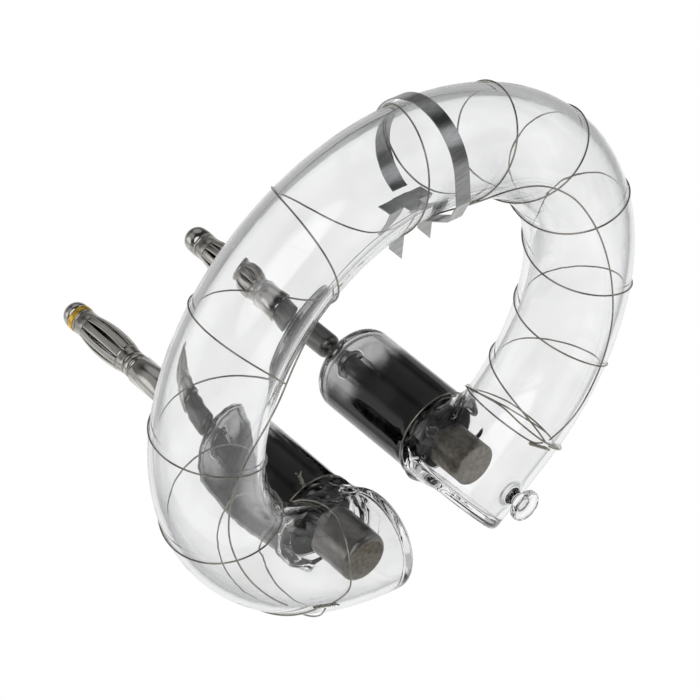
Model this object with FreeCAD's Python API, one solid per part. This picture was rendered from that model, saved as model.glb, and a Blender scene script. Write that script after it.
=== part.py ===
import FreeCAD, Part
import math
import os

# Plug-in horseshoe flash tube: a glass discharge tube bent into a broken ring, with two sealed
# arms behind its ends, two 4 mm spring plugs in line with the arms, and a trigger wire wound
# round the glass.  Millimetres.
#
# The shape is laid out about the centre of the ring, which lies in the XZ plane and faces -Y,
# with its gap at the bottom.  The last step moves everything so that the origin is midway
# between the two plugs, in the plane of the socket face that they go into.  The plugs point +Y.

Vector = FreeCAD.Vector

# ---- Driving dimensions ----------------------------------------------------------------------
RING_RADIUS = 29.8           # centreline of the bent tube
TUBE_R = 7.0                 # outside radius of the tube
TUBE_WALL = 0.9
TUBE_START = -58.2           # degrees from +X towards +Z: the bend starts here, on the right
TUBE_END = 259.4             # and ends here, on the left
RIGHT_STRAIGHT = 11.2        # straight end of the tube on the right, to the outside of its cap
CAP_THICK = 1.1
CAP_ROUND = 1.0              # rounding of the cap's rim

PLUG_PITCH = 20.8            # between the two plug axes
PLUG_DROP = 27.9             # from the ring's centre down to the plug axes
SOCKET_Y = 43.4              # from the ring's plane back to the socket face

ARM_R = 6.0                  # sealed arm behind each end of the ring
ARM_WALL = 1.0
ARM_END_Y = 25.6
ARM_END_WALL = 1.2
ARM_SHOULDER = 2.4           # rounding of the arm's rear shoulder
ARM_LIP_R = 6.45             # bead of glass where the arm is fused to the tube
ARM_LIP_Y = 6.3
ARM_LIP_WIDE = 1.0
ARM_START_Y = 3.3            # the arm's outline starts here, inside the tube
ARM_FLUSH_Y = 4.7            # behind this it overhangs the end cap, in front it slopes back to it
ARM_OVERHANG = 1.2
ARM_END_CORNER = 1.6         # rounding inside the arm's rear end

# Radius, front and rear Y, and edge chamfer of each electrode.
ANODE = (3.45, -2.7, 5.0, 0.8)
CATHODE = (3.0, -0.3, 5.5, 0.2)
ROD_R = 0.8                  # tungsten rod from electrode to seal
BEAD_R = 1.9                 # sealing glass round the rod
BEAD_Y = 19.0
BEAD_FULL = 3.0              # length over which the bead grows to its full radius
BEAD_NOSE = 0.2              # its edge at the rod
BEAD_TAPER = 0.3             # it is slimmer again at the arm's end
LEAD_PIN_R = 1.25            # pin that comes out of the arm's end
LEAD_PIN_END_Y = 29.4
FERRULE_R = 1.72
FERRULE_Y = 28.2
FERRULE_ROUND = 1.1
SLEEVE_R = 2.05              # turned body of the plug
SLEEVE_Y = 36.0
GROOVE_R = 1.6
GROOVE_WIDE = 0.5
SHOULDER_R = 1.85
SHOULDER_WIDE = 0.9
CORE_R = 1.0                 # pin that the spring cage turns on
CAGE_CLEAR = 0.05            # running clearance of the cage on its pin
CAGE_WALL = 0.24
CAGE_COLLAR_R = 1.85
CAGE_R = 2.35                # relaxed radius of the cage, which a 4 mm socket squeezes
CAGE_LAND = 1.6              # straight part at the cage's widest
CAGE_PEAK_Y = 49.9
CAGE_BOW_Y = (45.3, 54.3)    # where the leaves leave the rear and the front collar
CAGE_BOW = 0.68              # how far out a leaf is half way to its widest, as a share
CAGE_SLOT_Y = (46.2, 54.1)
CAGE_LEAVES = 10
CAGE_SLOT = 0.5              # gap between leaves at the cage's widest
CAGE_SLOT_END = 0.12         # and at the ends of the slots
CAGE_TURN = {"left": 15, "right": 2}     # how far each cage happens to be turned
CAP_Y = 55.7                 # cap riveted on the end of the core pin
CAP_END_Y = 59.0
CAP_R = 1.88
CAP_DOME = 1.65
CAP_PIN_DEPTH = 0.6
RING_Y = 56.0                # colour ring in the cap's groove, on one plug only
RING_WIDE = 0.9
RING_DEPTH = 0.2
RING_PROUD = 0.06

TIP_OFF_Y = -10.4            # front of the flattened glass nipple left by the pump tube
TIP_OFF_R = 2.2
TIP_OFF_THICK = 1.1
TIP_NECK_R = 0.95
TIP_NECK_FROM_DROP = 0.5     # behind the drop
TIP_FLARE_R = 1.3            # the neck's flare, half way to its foot
TIP_FLARE_FROM_DROP = 1.4
TIP_FOOT_R = 2.3
TIP_FOOT_SUNK = 0.7          # below the tube's foremost line, where the round tube falls away
TIP_FOOT_DEEP = 2.0

WIRE_R = 0.11                # nickel trigger wire
WIRE_LIFT = 0.25             # wire's axis above the glass, so that its flats clear the bend
WIRE_SIDES = 6
STEPS_PER_TURN = 18
DEGREES_PER_STEP = 4.0       # of ring angle, where a wire runs along the ring

# Where the trigger wire crosses the back and then the front of the tube, in degrees round the
# ring, starting at the right-hand knot.  The turns are wound by hand, so they are uneven.
WIND_START = (-54.0, 101)    # ring angle, and angle round the tube
REAR_CROSSINGS = [-39.0, -20.0, 5.0, 29.5, 54.7, 78.5, 108.0, 135.5, 163.0, 188.0, 214.0]
FRONT_CROSSINGS = [-30.8, -10.0, 15.5, 40.4, 64.0, 88.5, 116.0, 142.0, 169.0, 195.5]
WIND_END = (231.0, 423)

# The other runs of wire, as (ring angle, angle round the tube) from knot to knot: a loose strand
# along the ring, and the turns that tie the wire to each end of the glass.
STRAND = [
    (-53.0, 100), (-44.0, 86), (-33.0, 84), (-20.0, 89), (-6.0, 98), (8.0, 104), (22.0, 106),
    (36.0, 105), (50.0, 107), (61.0, 118), (70.0, 138), (78.0, 151), (88.0, 154), (103.0, 154),
    (118.0, 151), (132.0, 143), (146.0, 130), (154.0, 112), (162.0, 93), (172.0, 78),
    (184.0, 69), (197.0, 67), (210.0, 66), (220.0, 64),
]
RIGHT_COLLAR = [
    (-54.5, 104), (-55.9, 118), (-56.2, 157), (-55.5, 200), (-54.6, 237), (-54.0, 275),
    (-53.0, 316), (-53.2, 357), (-53.6, 387), (-53.8, 440), (-54.0, 469), (-53.4, 497),
    (-52.4, 524), (-53.6, 556), (-55.0, 597), (-54.8, 640), (-54.0, 690), (-53.5, 740),
    (-54.4, 815),
]
LEFT_COLLAR = [
    (234.0, 70), (237.0, 90), (235.2, 115), (234.5, 142), (235.5, 176), (234.0, 225),
    (232.0, 284), (233.5, 301), (235.2, 330), (236.5, 355), (236.0, 398), (233.0, 425),
]
STRAND_LIFT = 0.52           # the strand lies over the turns
COLLAR_LIFT = (0.45, 0.8)    # the collar's turns lie over each other
KNOTS = {"right": ((-56.6, 118), (-55.2, 96)), "left": ((228.8, 67), (235.0, 72))}
KNOT_R = 0.26
KNOT_LIFT = 1.25

ARM_TIE_Y = 7.4              # wire tied round the root of each arm
ARM_TIE_R = 0.12
ARM_TIE_GAP = 0.05

CLIP_ANGLE = 78.8            # ring angle of the trigger clip
CLIP_WIDE = 2.2
CLIP_THICK = 0.15
CLIP_GAP = 0.42              # between band and glass: the wire runs through it
CLIP_FRONT_END = 78.0        # angle round the tube where the band leaves the glass, in front
CLIP_REAR_END = -158.0       # and where it ends, behind
# Bends of the free end: inward from the tube's centre, and Y.
CLIP_BENDS = [(2.0, -8.0), (4.85, -6.85), (8.0, -1.6)]
CLIP_FLAT_REAR = 2.6         # the last of them starts a flat, which ends here
PRONG_THICK = 0.15
PRONG_WIDE = 2.2
PRONG_Y = 0.1                # the prongs are bent inward here, at the front of their plate
PRONGS = [(1.05, 14.85), (-3.3, 13.6)]   # along the ring to each prong's point, and inward to it
PRONG_SLANT = 2.4

# ---- Directions and small helpers ------------------------------------------------------------
AXIS_Y = Vector(0, 1, 0)
ASKEW = Vector(0.31, 0.47, 0.83)     # no wire starts along this
ARM_X = PLUG_PITCH / 2
SIDES = {"left": -1, "right": 1}


def ring_point(angle, radius=RING_RADIUS, y=0.0):
    """A point at an angle from +X towards +Z round the ring."""
    a = math.radians(angle)
    return Vector(radius * math.cos(a), y, radius * math.sin(a))


def along_ring(angle):
    """Unit vector along the tube, towards larger angles."""
    a = math.radians(angle)
    return Vector(-math.sin(a), 0, math.cos(a))


def on_tube(angle, turn, lift=WIRE_LIFT):
    """A point just outside the tube: turn 0 is outermost, 90 in front, 180 innermost, 270 behind."""
    t = math.radians(turn)
    rho = TUBE_R + lift
    return ring_point(angle, RING_RADIUS + rho * math.cos(t), -rho * math.sin(t))


def arm_axis(side, y=0.0):
    return Vector(SIDES[side] * ARM_X, y, -PLUG_DROP)


def rod(radius, y0, y1, side):
    return Part.makeCylinder(radius, y1 - y0, arm_axis(side, y0), AXIS_Y)


def turned(profile, side):
    """Revolve a closed outline of (radius, y) points about an arm's axis.

    A point may be a triple (radius, y, "arc"): it is then the middle of an arc between its
    neighbours.
    """
    def at(p):
        return arm_axis(side) + Vector(p[0], p[1], 0)

    edges = []
    points = profile + [profile[0]]
    i = 0
    while i < len(points) - 1:
        if len(points[i + 1]) == 3:
            edges.append(Part.Arc(at(points[i]), at(points[i + 1]), at(points[i + 2])).toShape())
            i += 2
        else:
            edges.append(Part.LineSegment(at(points[i]), at(points[i + 1])).toShape())
            i += 1
    face = Part.Face(Part.Wire(edges))
    return face.revolve(arm_axis(side), AXIS_Y, 360)


def corner(radius, y, rounding, towards_y):
    """The three points of a rounded outer corner at (radius, y): side, middle and end."""
    bulge = rounding * (1 - math.cos(math.radians(45)))
    back = -towards_y * rounding
    return [
        (radius, y + back),
        (radius - bulge, y - towards_y * bulge, "arc"),
        (radius - rounding, y),
    ]


def swept_wire(points, radius=WIRE_R, sides=WIRE_SIDES):
    """A thin many-sided wire along a run of points, mitred at each point."""
    runs = [(b - a).normalize() for a, b in zip(points, points[1:])]
    across = runs[0].cross(ASKEW).normalize()
    up = runs[0].cross(across)
    ring = []
    for k in range(sides):
        a = 2 * math.pi * k / sides
        ring.append(points[0] + across * (radius * math.cos(a)) + up * (radius * math.sin(a)))
    rings = [ring]
    for i, run in enumerate(runs):
        after = runs[i + 1] if i + 1 < len(runs) else run
        normal = (run + after).normalize()
        target = points[i + 1]
        ring = [v + run * ((target - v).dot(normal) / run.dot(normal)) for v in ring]
        rings.append(ring)
    faces = [Part.Face(Part.makePolygon(r + [r[0]])) for r in (rings[0], rings[-1])]
    for low, high in zip(rings, rings[1:]):
        for k in range(sides):
            n = (k + 1) % sides
            faces.append(Part.Face(Part.makePolygon([low[k], low[n], high[n], high[k], low[k]])))
    shell = Part.makeShell(faces)
    shell.sewShape()
    return Part.makeSolid(shell)


def smooth(values, t):
    """A smooth curve through evenly spaced values, at t counted in values."""
    i = max(0, min(int(t), len(values) - 2))
    u = t - i
    p1, p2 = values[i], values[i + 1]
    p0 = values[i - 1] if i > 0 else 2 * p1 - p2
    p3 = values[i + 2] if i + 2 < len(values) else 2 * p2 - p1
    return 0.5 * (
        2 * p1
        + (p2 - p0) * u
        + (2 * p0 - 5 * p1 + 4 * p2 - p3) * u * u
        + (3 * p1 - p0 - 3 * p2 + p3) * u ** 3
    )


# ---- Glass -----------------------------------------------------------------------------------
def tube_body(radius):
    """Solid of the given radius along the tube's centreline, as far as the two end caps."""
    start = ring_point(TUBE_START)
    disc = Part.Face(Part.Wire(Part.makeCircle(radius, start, along_ring(TUBE_START))))
    bend = disc.revolve(Vector(0, 0, 0), Vector(0, -1, 0), TUBE_END - TUBE_START)
    straight = Part.makeCylinder(radius, RIGHT_STRAIGHT - CAP_THICK, start, -along_ring(TUBE_START))
    # The bend is cut back square, so that the left cap meets it face to face.
    outward = along_ring(TUBE_END)
    cap_space = Part.makeCylinder(2 * TUBE_R, 2 * CAP_THICK, left_face - outward * CAP_THICK, outward)
    return bend.fuse(straight).cut(cap_space)


def end_cap(centre, outward):
    """Flat disc of glass fused into an end of the tube, with a rounded rim."""
    disc = Part.makeCylinder(TUBE_R, CAP_THICK, centre - outward * CAP_THICK, outward)
    rim = [
        e for e in disc.Edges
        if len(e.Vertexes) == 1 and abs((e.CenterOfMass - centre).dot(outward)) < 1e-6
    ]
    return disc.makeFillet(CAP_ROUND, rim)


left_face = ring_point(TUBE_END)
right_face = ring_point(TUBE_START) - along_ring(TUBE_START) * RIGHT_STRAIGHT
tube_outer = tube_body(TUBE_R)
tube_bore = tube_body(TUBE_R - TUBE_WALL)
CAP_FACES = {
    "left": (left_face, along_ring(TUBE_END)),
    "right": (right_face, -along_ring(TUBE_START)),
}
left_cap = end_cap(*CAP_FACES["left"])
right_cap = end_cap(*CAP_FACES["right"])
envelope = tube_outer.multiFuse([left_cap, right_cap])


def overhang(face_centre, outward):
    """Space in front of an arm, outside an end cap: it slopes back from the cap's face."""
    profile = [(0, -TUBE_R), (0, ARM_START_Y), (ARM_OVERHANG, ARM_FLUSH_Y)]
    profile += [(2 * ARM_OVERHANG, ARM_FLUSH_Y), (2 * ARM_OVERHANG, -TUBE_R)]
    across = outward.cross(AXIS_Y)
    start = face_centre - across * (2 * TUBE_R)
    corners = [start + outward * out + AXIS_Y * y for out, y in profile]
    return Part.Face(Part.makePolygon(corners + [corners[0]])).extrude(across * (4 * TUBE_R))


def arm_solid(side):
    """Glass arm: open to the tube in front, closed by a rounded shoulder behind."""
    lip0 = ARM_LIP_Y - ARM_LIP_WIDE / 2
    lip1 = ARM_LIP_Y + ARM_LIP_WIDE / 2
    outside = [(0, ARM_START_Y), (ARM_R, ARM_START_Y), (ARM_R, lip0)]
    outside += [(ARM_LIP_R, ARM_LIP_Y, "arc"), (ARM_R, lip1)]
    outside += corner(ARM_R, ARM_END_Y, ARM_SHOULDER, 1)
    outside += [(0, ARM_END_Y)]
    inner_end = ARM_END_Y - ARM_END_WALL
    inside = [(0, 0), (ARM_R - ARM_WALL, 0)]
    inside += corner(ARM_R - ARM_WALL, inner_end, ARM_END_CORNER, 1)
    inside += [(0, inner_end)]
    arm = turned(outside, side).cut(turned(inside, side))
    arm = arm.cut(envelope)
    arm = arm.cut(overhang(*CAP_FACES[side]))
    arm = arm.cut(rod(LEAD_PIN_R, inner_end - 1, ARM_END_Y + 1, side))
    return max(arm.Solids, key=lambda s: s.Volume)


def tip_off():
    """Nipple left where the pump tube was melted off: a flared foot, a waist and a flat drop."""
    front = TIP_OFF_Y
    back = TIP_OFF_Y + TIP_OFF_THICK
    profile = [
        (0, front),
        (TIP_OFF_R - TIP_OFF_THICK / 2, front),
        (TIP_OFF_R, (front + back) / 2, "arc"),
        (TIP_OFF_R - TIP_OFF_THICK / 2, back),
        (TIP_NECK_R, back + TIP_NECK_FROM_DROP),
        (TIP_FLARE_R, back + TIP_FLARE_FROM_DROP, "arc"),
        (TIP_FOOT_R, -TUBE_R + TIP_FOOT_SUNK),
        (TIP_FOOT_R, -TUBE_R + TIP_FOOT_DEEP),
        (0, -TUBE_R + TIP_FOOT_DEEP),
    ]
    drop = turned(profile, "right").cut(envelope.fuse(tube_bore))
    return max(drop.Solids, key=lambda s: s.Volume)


parts = {}
discharge_tube = tube_outer.cut(tube_bore)
for side in SIDES:
    port = rod(ARM_R - ARM_WALL, 0, TUBE_R + 1, side)
    discharge_tube = discharge_tube.cut(port)
    parts[side + "_seal_tube"] = arm_solid(side)
parts["discharge_tube"] = discharge_tube
parts["left_end_cap"] = left_cap
parts["right_end_cap"] = right_cap
parts["exhaust_tip"] = tip_off()


# ---- Electrodes, leads and plugs ----------------------------------------------------------------
def electrode(side, size):
    """Cylinder of tungsten with chamfered edges."""
    radius, front, rear, c = size
    return turned(
        [
            (0, front),
            (radius - c, front),
            (radius, front + c),
            (radius, rear - c),
            (radius - c, rear),
            (0, rear),
        ],
        side,
    )


def seal_bead(side):
    """Drop-shaped bead of sealing glass round the rod, against the arm's end wall."""
    end = ARM_END_Y - ARM_END_WALL
    bead = turned(
        [
            (0, BEAD_Y),
            (ROD_R + BEAD_NOSE, BEAD_Y),
            (0.95 * BEAD_R, BEAD_Y + BEAD_FULL / 2, "arc"),
            (BEAD_R, BEAD_Y + BEAD_FULL),
            (BEAD_R - BEAD_TAPER, end),
            (0, end),
        ],
        side,
    )
    return bead.cut(rod(ROD_R, BEAD_Y - 1, end + 1, side))


def ferrule(side):
    """Domed ferrule that joins the lead pin to the plug."""
    barrel = turned(
        [(0, FERRULE_Y)]
        + corner(FERRULE_R, FERRULE_Y, FERRULE_ROUND, -1)[::-1]
        + [(FERRULE_R, SLEEVE_Y), (0, SLEEVE_Y)],
        side,
    )
    return barrel.cut(rod(LEAD_PIN_R, FERRULE_Y - 1, LEAD_PIN_END_Y, side))


def plug_body(side):
    """Turned body: sleeve, groove, shoulder and the core pin that carries cage and cap."""
    groove_end = SOCKET_Y + GROOVE_WIDE
    shoulder_end = groove_end + SHOULDER_WIDE
    return turned(
        [
            (0, SLEEVE_Y),
            (SLEEVE_R, SLEEVE_Y),
            (SLEEVE_R, SOCKET_Y),
            (GROOVE_R, SOCKET_Y),
            (GROOVE_R, groove_end),
            (SHOULDER_R, groove_end),
            (SHOULDER_R, shoulder_end),
            (CORE_R, shoulder_end),
            (CORE_R, CAP_Y + CAP_PIN_DEPTH),
            (0, CAP_Y + CAP_PIN_DEPTH),
        ],
        side,
    )


def spring_cage(side):
    """Rolled cage of bowed leaves between two collars that turn on the core pin."""
    bore = CORE_R + CAGE_CLEAR
    y0 = SOCKET_Y + GROOVE_WIDE + SHOULDER_WIDE + CAGE_CLEAR
    y1 = CAP_Y - 2 * CAGE_CLEAR
    land0 = CAGE_PEAK_Y - CAGE_LAND / 2
    land1 = CAGE_PEAK_Y + CAGE_LAND / 2
    leaf0, leaf1 = CAGE_BOW_Y
    inner_peak = CAGE_R - CAGE_WALL
    inner_end = CAGE_COLLAR_R - CAGE_WALL
    mid0, mid1 = (leaf0 + land0) / 2, (leaf1 + land1) / 2
    outer_mid = CAGE_COLLAR_R + CAGE_BOW * (CAGE_R - CAGE_COLLAR_R)
    inner_mid = inner_end + CAGE_BOW * (inner_peak - inner_end)
    cage = turned(
        [
            (bore, y0),
            (CAGE_COLLAR_R, y0),
            (CAGE_COLLAR_R, leaf0),
            (outer_mid, mid0, "arc"),
            (CAGE_R, land0),
            (CAGE_R, land1),
            (outer_mid, mid1, "arc"),
            (CAGE_COLLAR_R, leaf1),
            (CAGE_COLLAR_R, y1),
            (bore, y1),
            (bore, leaf1),
            (inner_end, leaf1),
            (inner_mid, mid1, "arc"),
            (inner_peak, land1),
            (inner_peak, land0),
            (inner_mid, mid0, "arc"),
            (inner_end, leaf0),
            (bore, leaf0),
        ],
        side,
    )
    half, half_end = CAGE_SLOT / 2, CAGE_SLOT_END / 2
    slot0, slot1 = CAGE_SLOT_Y
    outline = [
        (-half_end, slot0),
        (-half, land0),
        (-half, land1),
        (-half_end, slot1),
        (half_end, slot1),
        (half, land1),
        (half, land0),
        (half_end, slot0),
    ]
    corners = [arm_axis(side, y) + Vector(x, 0, bore) for x, y in outline]
    slot = Part.Face(Part.makePolygon(corners + [corners[0]])).extrude(Vector(0, 0, 2 * CAGE_R))
    for k in range(CAGE_LEAVES):
        cut = slot.copy()
        cut.rotate(arm_axis(side), AXIS_Y, -CAGE_TURN[side] - 360 * k / CAGE_LEAVES)
        cage = cage.cut(cut)
    return cage


def tip_cap(side):
    """Domed cap, bored for the core pin, with a fine groove or the seat of the colour ring."""
    cap = turned(
        [(0, CAP_Y), (CAP_R, CAP_Y)] + corner(CAP_R, CAP_END_Y, CAP_DOME, 1) + [(0, CAP_END_Y)],
        side,
    )
    cap = cap.cut(rod(CORE_R, CAP_Y - 1, CAP_Y + CAP_PIN_DEPTH, side))
    wide = RING_WIDE if side == "left" else RING_DEPTH
    groove = rod(CAP_R + 1, RING_Y, RING_Y + wide, side).cut(
        rod(CAP_R - RING_DEPTH, RING_Y - 1, RING_Y + wide + 1, side)
    )
    return cap.cut(groove)


def colour_ring(side):
    return rod(CAP_R + RING_PROUD, RING_Y, RING_Y + RING_WIDE, side).cut(
        rod(CAP_R - RING_DEPTH, RING_Y - 1, RING_Y + RING_WIDE + 1, side)
    )


for side in SIDES:
    parts[side + "_seal_bead"] = seal_bead(side)
    rod_start = ANODE[2] if side == "left" else CATHODE[2]
    parts[side + "_lead_rod"] = rod(ROD_R, rod_start, ARM_END_Y - ARM_END_WALL, side)
    parts[side + "_lead_pin"] = rod(LEAD_PIN_R, ARM_END_Y - ARM_END_WALL, LEAD_PIN_END_Y, side)
    parts[side + "_ferrule"] = ferrule(side)
    parts[side + "_plug_body"] = plug_body(side)
    parts[side + "_spring_cage"] = spring_cage(side)
    parts[side + "_tip_cap"] = tip_cap(side)
parts["anode"] = electrode("left", ANODE)
parts["cathode"] = electrode("right", CATHODE)
parts["polarity_ring"] = colour_ring("left")


# ---- Trigger wire ------------------------------------------------------------------------------
def wire_run(stations, lift_from=WIRE_LIFT, lift_to=WIRE_LIFT):
    """A wire close to the glass through hand-chosen stations (ring angle, angle round the tube)."""
    angles = [s[0] for s in stations]
    turns = [s[1] for s in stations]
    points = []
    last = len(stations) - 1
    for i in range(last):
        round_steps = abs(turns[i + 1] - turns[i]) * STEPS_PER_TURN / 360
        ring_steps = abs(angles[i + 1] - angles[i]) / DEGREES_PER_STEP
        count = max(1, math.ceil(max(round_steps, ring_steps)))
        for j in range(count):
            t = i + j / count
            lift = lift_from + (lift_to - lift_from) * t / last
            points.append(on_tube(smooth(angles, t), smooth(turns, t), lift))
    points.append(on_tube(angles[-1], turns[-1], lift_to))
    return swept_wire(points)


def winding():
    """The wound wire, from the right-hand knot to the left-hand one."""
    stations = [WIND_START]
    for k, rear in enumerate(REAR_CROSSINGS):
        stations.append((rear, 270 + 360 * k))
        if k < len(FRONT_CROSSINGS):
            stations.append((FRONT_CROSSINGS[k], 450 + 360 * k))
    stations.append((WIND_END[0], WIND_END[1] + 360 * (len(REAR_CROSSINGS) - 1)))
    return wire_run(stations)


def knot(ends):
    """The twisted ends of the wire, as one short bar."""
    start, end = (on_tube(angle, turn, KNOT_LIFT) for angle, turn in ends)
    return Part.makeCylinder(KNOT_R, (end - start).Length, start, end - start)


def arm_tie(side):
    """Turn of wire tied round the root of an arm, behind the bead of glass."""
    radius = ARM_R + ARM_TIE_R + ARM_TIE_GAP
    return Part.makeTorus(radius, ARM_TIE_R, arm_axis(side, ARM_TIE_Y), AXIS_Y)


parts["trigger_wire"] = winding()
parts["trigger_strand"] = wire_run(STRAND, STRAND_LIFT, STRAND_LIFT)
for side, stations in (("left", LEFT_COLLAR), ("right", RIGHT_COLLAR)):
    collar = wire_run(stations, *COLLAR_LIFT)
    parts[side + "_collar_wire"] = Part.makeCompound([collar, knot(KNOTS[side])])
    parts[side + "_arm_tie"] = arm_tie(side)


# ---- Trigger clip ------------------------------------------------------------------------------
CLIP_IN = -ring_point(CLIP_ANGLE, 1)              # from the tube's centre towards the ring's
CLIP_ALONG = along_ring(CLIP_ANGLE)


def clip_point(inward, y, along=0.0):
    return ring_point(CLIP_ANGLE) + CLIP_IN * inward + CLIP_ALONG * along + AXIS_Y * y


def clip_arc_point(radius, turn):
    t = math.radians(turn)
    return clip_point(-radius * math.cos(t), -radius * math.sin(t))


def clip_band():
    """Open band of strip steel, with one end bent off the glass into a flat."""
    low = TUBE_R + CLIP_GAP
    high = low + CLIP_THICK
    middle = (CLIP_FRONT_END + CLIP_REAR_END) / 2
    inner = Part.Arc(*(clip_arc_point(low, a) for a in (CLIP_REAR_END, middle, CLIP_FRONT_END)))
    outer = Part.Arc(*(clip_arc_point(high, a) for a in (CLIP_FRONT_END, middle, CLIP_REAR_END)))
    flat_in = CLIP_BENDS[-1][0]
    under = [clip_arc_point(low, CLIP_FRONT_END)]
    under += [clip_point(*bend) for bend in CLIP_BENDS]
    under += [clip_point(flat_in, CLIP_FLAT_REAR)]
    over = [clip_point(flat_in + CLIP_THICK, CLIP_FLAT_REAR)]
    over += [clip_point(bend[0] + CLIP_THICK, bend[1] - CLIP_THICK / 2) for bend in CLIP_BENDS[:0:-1]]
    over += [clip_point(CLIP_BENDS[0][0], CLIP_BENDS[0][1] - CLIP_THICK)]
    over += [clip_arc_point(high, CLIP_FRONT_END)]
    path = under + over
    edges = [inner.toShape()]
    edges += [Part.LineSegment(a, b).toShape() for a, b in zip(path, path[1:])]
    edges.append(outer.toShape())
    rear_end = [clip_arc_point(radius, CLIP_REAR_END) for radius in (high, low)]
    edges.append(Part.LineSegment(*rear_end).toShape())
    face = Part.Face(Part.Wire(edges))
    band = face.extrude(CLIP_ALONG * CLIP_WIDE)
    band.translate(CLIP_ALONG * (-CLIP_WIDE / 2))
    return band


def clip_prongs():
    """Plate welded to the band's flat, with two pointed prongs bent towards the ring's centre."""
    base = CLIP_BENDS[-1][0] + CLIP_THICK
    reach = [p[0] for p in PRONGS]
    low, high = min(reach), max(reach) + PRONG_WIDE

    def slab(corners, thickness_y):
        face = Part.Face(Part.makePolygon(corners + [corners[0]]))
        return face.extrude(AXIS_Y * thickness_y)

    top = PRONG_Y
    plate = slab(
        [
            clip_point(base, top, low),
            clip_point(base, top, high),
            clip_point(base + PRONG_THICK, top, high),
            clip_point(base + PRONG_THICK, top, low),
        ],
        CLIP_FLAT_REAR - top,
    )
    prongs = [
        slab(
            [
                clip_point(base, top, along),
                clip_point(base, top, along + PRONG_WIDE),
                clip_point(tip - PRONG_SLANT, top, along + PRONG_WIDE),
                clip_point(tip, top, along),
            ],
            PRONG_THICK,
        )
        for along, tip in PRONGS
    ]
    return plate.multiFuse(prongs).removeSplitter()


parts["trigger_clip_band"] = clip_band()
parts["trigger_clip_prongs"] = clip_prongs()

# ---- Move to the part's own origin, check and write ------------------------------------------------
os.makedirs("parts", exist_ok=True)
to_origin = Vector(0, -SOCKET_Y, PLUG_DROP)
for name, shape in sorted(parts.items()):
    shape.translate(to_origin)
    if not shape.isValid():
        print("not valid:", name)
    print(f"{name}: {len(shape.Solids)} solid, {shape.Volume:.2f} mm3")
    shape.exportStep("parts/" + name + ".step")
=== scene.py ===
import math

import bpy
import numpy as np
from mathutils import Matrix, Vector


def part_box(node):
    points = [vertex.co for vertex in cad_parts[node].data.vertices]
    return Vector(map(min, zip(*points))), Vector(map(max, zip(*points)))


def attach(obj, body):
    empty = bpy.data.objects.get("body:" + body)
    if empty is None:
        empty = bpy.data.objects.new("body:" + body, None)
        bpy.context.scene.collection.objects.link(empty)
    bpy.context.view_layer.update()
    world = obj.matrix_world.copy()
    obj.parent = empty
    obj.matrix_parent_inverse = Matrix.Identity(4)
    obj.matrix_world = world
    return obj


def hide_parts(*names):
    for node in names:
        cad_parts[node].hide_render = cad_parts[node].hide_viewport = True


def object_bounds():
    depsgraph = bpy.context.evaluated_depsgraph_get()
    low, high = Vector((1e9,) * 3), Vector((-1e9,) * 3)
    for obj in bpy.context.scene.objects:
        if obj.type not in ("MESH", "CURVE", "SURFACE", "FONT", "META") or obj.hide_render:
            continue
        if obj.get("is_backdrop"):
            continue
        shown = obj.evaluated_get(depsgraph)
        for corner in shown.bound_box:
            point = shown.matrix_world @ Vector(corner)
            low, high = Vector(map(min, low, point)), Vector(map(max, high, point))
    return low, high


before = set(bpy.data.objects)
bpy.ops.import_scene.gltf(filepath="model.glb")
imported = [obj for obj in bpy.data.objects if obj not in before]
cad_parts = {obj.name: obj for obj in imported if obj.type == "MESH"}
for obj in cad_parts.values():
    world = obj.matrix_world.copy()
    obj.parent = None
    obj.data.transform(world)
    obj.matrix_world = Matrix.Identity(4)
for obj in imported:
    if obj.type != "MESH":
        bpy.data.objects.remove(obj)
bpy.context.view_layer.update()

# Horseshoe flash tube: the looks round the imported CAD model.  Blender works in metres; the shapes
# here are laid out in millimetres about the centre of the ring, as in the CAD model, and to_frame()
# turns such points into the frame's own.  The ring lies in XZ and faces -Y, with its gap below.

# ---- Sizes from the frame -------------------------------------------------------------------------
MM = 0.001


def box_mm(node):
    low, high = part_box(node)
    return np.array(low) / MM, np.array(high) / MM


tube_low, tube_high = box_mm("discharge_tube")
TUBE_R = (tube_high[1] - tube_low[1]) / 2
RING_RADIUS = (tube_high[0] - tube_low[0]) / 2 - TUBE_R
CENTRE = (tube_low + tube_high) / 2
CENTRE[2] = tube_high[2] - TUBE_R - RING_RADIUS


def centred(node):
    """A node's box, in millimetres from the ring's centre."""
    low, high = box_mm(node)
    return low - CENTRE, high - CENTRE


def span_y(node):
    """Where a node starts and ends along its arm."""
    low, high = centred(node)
    return low[1], high[1]


def half_width(node):
    low, high = centred(node)
    return (high[0] - low[0]) / 2


SIDES = {"left": -1, "right": 1}
plug_low, plug_high = centred("right_plug_body")
ARM_X = (plug_low[0] + plug_high[0]) / 2
ARM_Z = (plug_low[2] + plug_high[2]) / 2
ARM_END_Y = span_y("right_seal_tube")[1]
ARM_LIP_R = half_width("right_seal_tube")
TIP_FRONT_Y = span_y("exhaust_tip")[0]
TIP_R = half_width("exhaust_tip")

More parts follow.
